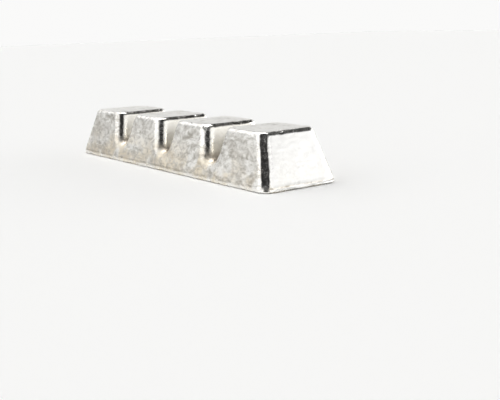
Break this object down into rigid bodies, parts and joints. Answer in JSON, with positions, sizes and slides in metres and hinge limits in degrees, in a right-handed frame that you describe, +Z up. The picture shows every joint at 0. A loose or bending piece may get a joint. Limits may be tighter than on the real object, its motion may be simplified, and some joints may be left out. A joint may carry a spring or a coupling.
{
  "type": "tantalum ingot",
  "caption": "Cast metal ingot: a long bar with drafted sides and ends, deep breaking notches across its top, rounded lobes between them and a thin rim round its flat base.",
  "frame": {"origin": "middle of the flat base", "axes": "+X along the bar, +Y across it, +Z up through the crown of the lobes"},
  "size_m": [0.348, 0.085, 0.05],
  "materials": {
    "cast_metal": "satin"
  },
  "bodies": {
    "root": {"ingot": "cast_metal"}
  },
  "joints": []
}
